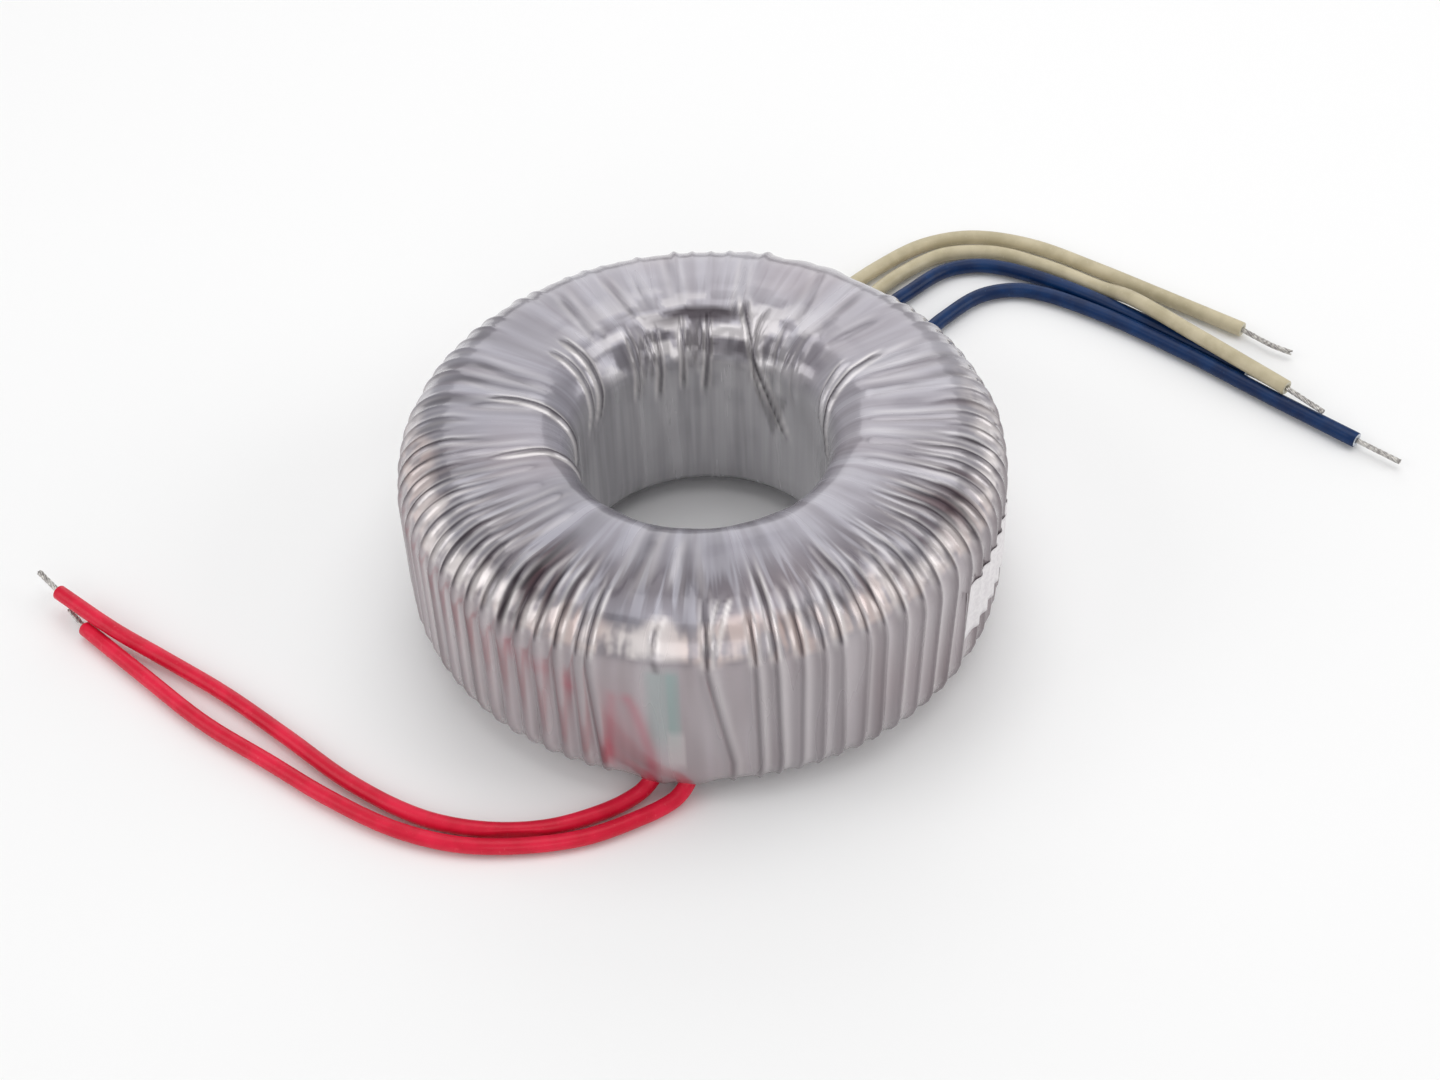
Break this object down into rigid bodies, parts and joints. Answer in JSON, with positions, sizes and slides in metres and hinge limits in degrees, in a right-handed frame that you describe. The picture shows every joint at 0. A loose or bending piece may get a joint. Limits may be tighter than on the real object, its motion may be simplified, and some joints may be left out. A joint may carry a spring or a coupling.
{
  "type": "toroidal transformer",
  "caption": "Ring-shaped mains transformer wrapped in clear film over its copper windings, with red, cream and navy flying leads ending in tinned strands.",
  "frame": {"origin": "centre of the ring's underside, on the surface it stands on", "axes": "+Z is the ring's axis, up; the primary (red) leads leave at the front, on the -Y side; the secondary (cream and navy) leads leave at the back, on the +Y side"},
  "size_m": [0.1924, 0.1206, 0.03],
  "materials": {
    "core_steel": "strip edges, matt",
    "polyester_tape": "pale yellow polyester tape",
    "primary_copper": "enamelled copper wire in layers",
    "secondary_copper": "enamelled copper wire, glossy",
    "film": "several layers of clear film, hazy and wrinkled",
    "green_tape": "teal insulating tape",
    "paper_tag": "small pale tag",
    "white_label": "blank white sticker",
    "splice_sleeve": "shrink sleeve",
    "red_insulation": "smooth red",
    "cream_insulation": "smooth cream grey",
    "blue_insulation": "smooth navy",
    "tinned_strands": "twisted tinned strands"
  },
  "bodies": {
    "root": {"core": "core_steel", "core_tape": "polyester_tape", "primary_winding": "primary_copper", "barrier_tape": "polyester_tape", "secondary_winding_1": "secondary_copper", "secondary_winding_2": "secondary_copper", "outer_film_wrap": "film", "splice_tape": "green_tape", "lead_tag": "paper_tag", "rating_label": "white_label", "splice_sleeve_red_1": "splice_sleeve", "splice_sleeve_red_2": "splice_sleeve", "splice_sleeve_cream_1": "splice_sleeve", "splice_sleeve_cream_2": "splice_sleeve", "splice_sleeve_blue_1": "splice_sleeve", "splice_sleeve_blue_2": "splice_sleeve", "red_lead_1": "red_insulation", "red_lead_2": "red_insulation", "cream_lead_1": "cream_insulation", "cream_lead_2": "cream_insulation", "blue_lead_1": "blue_insulation", "blue_lead_2": "blue_insulation", "red_tip_1": "tinned_strands", "red_tip_2": "tinned_strands", "cream_tip_1": "tinned_strands", "cream_tip_2": "tinned_strands", "blue_tip_1": "tinned_strands", "blue_tip_2": "tinned_strands"}
  },
  "joints": []
}
